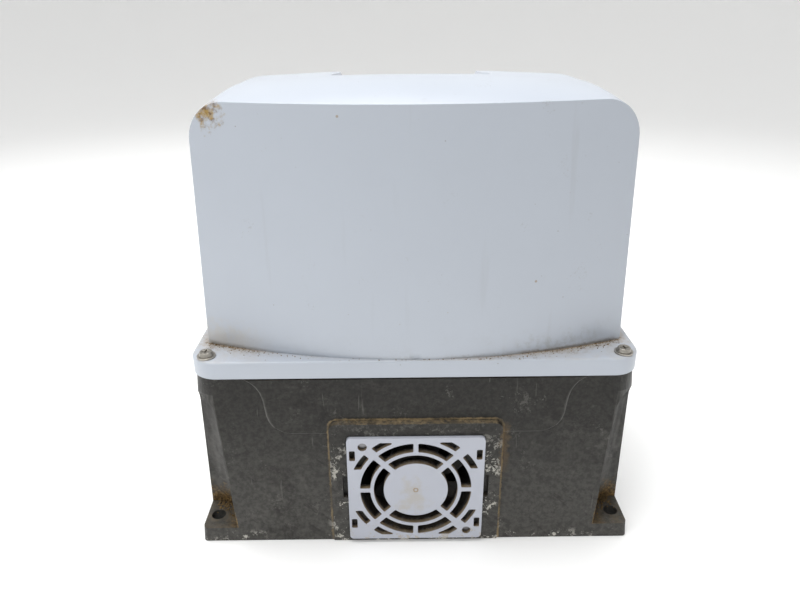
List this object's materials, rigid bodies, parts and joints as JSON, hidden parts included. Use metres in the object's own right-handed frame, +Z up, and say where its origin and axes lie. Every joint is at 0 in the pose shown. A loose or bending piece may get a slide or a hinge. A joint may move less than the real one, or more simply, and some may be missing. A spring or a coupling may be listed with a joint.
{
  "type": "garage door opener",
  "caption": "Floor-standing rack-drive door opener: cast base with bolt-down ears and fan grille, moulded hood, worm gearbox, motor, clutch release and control board.",
  "frame": {"origin": "centre of the four floor-bolt holes, on the base's underside", "axes": "+Z up; +Y towards the pinion side; the fan-grille side faces -Y; +X to the right when the grille is viewed"},
  "size_m": [0.303, 0.3001, 0.311],
  "materials": {
    "base_housing": "satin charcoal paint on cast aluminium, scuffed",
    "rim_gasket": "thin black gasket",
    "fan_grille": "light blue-grey moulded plastic, dusty in the slots",
    "fan_frame": "black moulded plastic",
    "fan_rotor": "black moulded plastic",
    "fan_screws": "plated steel",
    "cable_grommet": "black rubber",
    "gearbox_housing": "bare die casting",
    "gearbox_front_plate": "bare die casting",
    "gearbox_screws": "plated steel",
    "gearbox_feet_bolts": "plated steel",
    "worm_bearings": "ground steel",
    "shaft_bearings": "ground steel",
    "shaft_seal": "brown-black rubber lip seal",
    "worm": "hardened steel, oiled",
    "worm_wheel": "bronze",
    "wheel_bush": "bronze",
    "output_shaft": "turned steel",
    "clutch_ring": "hardened steel",
    "clutch_fork": "pressed steel",
    "drive_pinion": "machined steel, oiled",
    "pinion_washer": "plated steel",
    "pinion_bolt": "plated steel",
    "motor_lower_bell": "bare die casting",
    "motor_stator": "varnished steel laminations",
    "motor_windings": "varnished copper wire",
    "motor_upper_bell": "bare die casting",
    "motor_tie_bolts": "plated steel",
    "motor_shaft": "ground steel",
    "motor_rotor": "steel laminations",
    "run_capacitor": "white plastic can",
    "capacitor_clamp": "black plastic",
    "transformer_core": "varnished steel laminations",
    "transformer_coils": "taped winding",
    "board_tray": "black moulded plastic",
    "control_board": "green circuit board",
    "relays": "blue plastic",
    "terminal_blocks": "green plastic",
    "board_capacitors": "black sleeve",
    "fuses": "glass tubes in clips",
    "board_chips": "black epoxy",
    "open_button": "red plastic",
    "close_button": "red plastic",
    "release_pocket": "black moulded plastic",
    "release_lever": "red paint",
    "release_shaft": "turned steel",
    "release_door": "satin charcoal paint",
    "hinge_pin": "plated steel",
    "lock_barrel": "nickel-plated brass",
    "limit_case": "black moulded plastic",
    "limit_lid": "black moulded plastic",
    "limit_pin": "plated steel",
    "limit_lever": "sprung steel",
    "microswitches": "black moulded plastic",
    "hood_cover": "light blue-grey glossy plastic, weathered",
    "hood_fascia": "dark glossy plastic",
    "hood_screws": "dulled nickel plate",
    "hood_washers": "dulled nickel plate"
  },
  "bodies": {
    "base": {"base_housing": "base_housing", "rim_gasket": "rim_gasket", "fan_grille": "fan_grille", "fan_frame": "fan_frame", "fan_screws": "fan_screws", "cable_grommet": "cable_grommet", "gearbox_housing": "gearbox_housing", "gearbox_front_plate": "gearbox_front_plate", "gearbox_screws": "gearbox_screws", "gearbox_feet_bolts": "gearbox_feet_bolts", "worm_bearings": "worm_bearings", "shaft_bearings": "shaft_bearings", "shaft_seal": "shaft_seal", "motor_lower_bell": "motor_lower_bell", "motor_stator": "motor_stator", "motor_windings": "motor_windings", "motor_upper_bell": "motor_upper_bell", "motor_tie_bolts": "motor_tie_bolts", "run_capacitor": "run_capacitor", "capacitor_clamp": "capacitor_clamp", "transformer_core": "transformer_core", "transformer_coils": "transformer_coils", "board_tray": "board_tray", "control_board": "control_board", "relays": "relays", "terminal_blocks": "terminal_blocks", "board_capacitors": "board_capacitors", "fuses": "fuses", "board_chips": "board_chips", "release_pocket": "release_pocket", "hinge_pin": "hinge_pin", "limit_case": "limit_case", "limit_lid": "limit_lid", "limit_pin": "limit_pin", "microswitches": "microswitches"},
    "fan": {"fan_rotor": "fan_rotor"},
    "wheel": {"worm_wheel": "worm_wheel", "wheel_bush": "wheel_bush"},
    "output": {"output_shaft": "output_shaft", "drive_pinion": "drive_pinion", "pinion_washer": "pinion_washer", "pinion_bolt": "pinion_bolt"},
    "clutch": {"clutch_ring": "clutch_ring"},
    "motor": {"motor_shaft": "motor_shaft", "motor_rotor": "motor_rotor", "worm": "worm"},
    "fork": {"clutch_fork": "clutch_fork"},
    "release": {"release_lever": "release_lever", "release_shaft": "release_shaft"},
    "door": {"release_door": "release_door"},
    "lock": {"lock_barrel": "lock_barrel"},
    "limit": {"limit_lever": "limit_lever"},
    "open_key": {"open_button": "open_button"},
    "close_key": {"close_button": "close_button"},
    "cover": {"hood_cover": "hood_cover", "hood_fascia": "hood_fascia", "hood_screws": "hood_screws", "hood_washers": "hood_washers"}
  },
  "joints": [
    {"name": "wheel_spin", "type": "hinge", "parent": "base", "child": "wheel", "pos_m": [-0.045, 0, 0.085], "axis": [0, 1, 0], "continuous": true},
    {"name": "motor_spin", "type": "hinge", "parent": "base", "child": "motor", "pos_m": [0.01, 0, 0.085], "axis": [0, 0, 1], "continuous": true},
    {"name": "output_spin", "type": "hinge", "parent": "base", "child": "output", "pos_m": [-0.045, 0.1, 0.085], "axis": [0, 1, 0], "continuous": true},
    {"name": "fan_spin", "type": "hinge", "parent": "base", "child": "fan", "pos_m": [0, -0.0995, 0.0458], "axis": [0, 1, 0], "continuous": true},
    {"name": "release_turn", "type": "hinge", "parent": "base", "child": "release", "pos_m": [0.04, 0.1, 0.054], "axis": [0, -1, 0], "range_deg": [0, 90]},
    {"name": "fork_slide", "type": "slide", "parent": "base", "child": "fork", "axis": [0, 1, 0], "range_m": [0, 0.006]},
    {"name": "clutch_slide", "type": "slide", "parent": "output", "child": "clutch", "axis": [0, 1, 0], "range_m": [0, 0.006]},
    {"name": "door_hinge", "type": "hinge", "parent": "base", "child": "door", "pos_m": [0.058, 0.1295, 0.017], "axis": [-1, 0, 0], "range_deg": [0, 95]},
    {"name": "lock_turn", "type": "hinge", "parent": "door", "child": "lock", "pos_m": [0.092, 0.12, 0.076], "axis": [0, 1, 0], "range_deg": [0, 90]},
    {"name": "limit_swing", "type": "hinge", "parent": "base", "child": "limit", "pos_m": [-0.108, 0.146, 0.092], "axis": [0, 0, 1], "range_deg": [-32, 32], "stiffness_Nm_per_rad": 0.12},
    {"name": "open_press", "type": "slide", "parent": "base", "child": "open_key", "axis": [0, 1, 0], "range_m": [0, 0.0005], "stiffness_N_per_m": 1500},
    {"name": "close_press", "type": "slide", "parent": "base", "child": "close_key", "axis": [0, 1, 0], "range_m": [0, 0.0005], "stiffness_N_per_m": 1500},
    {"name": "cover_lift", "type": "slide", "parent": "base", "child": "cover", "axis": [0, 0, 1], "range_m": [0, 0.2]}
  ],
  "couplings": [
    {"joint": "motor_spin", "follows": "wheel_spin", "ratio": 32},
    {"joint": "output_spin", "follows": "wheel_spin", "ratio": 1},
    {"joint": "release_turn", "follows": "fork_slide", "rad_per_m": 261.8},
    {"joint": "clutch_slide", "follows": "fork_slide", "ratio": 1}
  ]
}
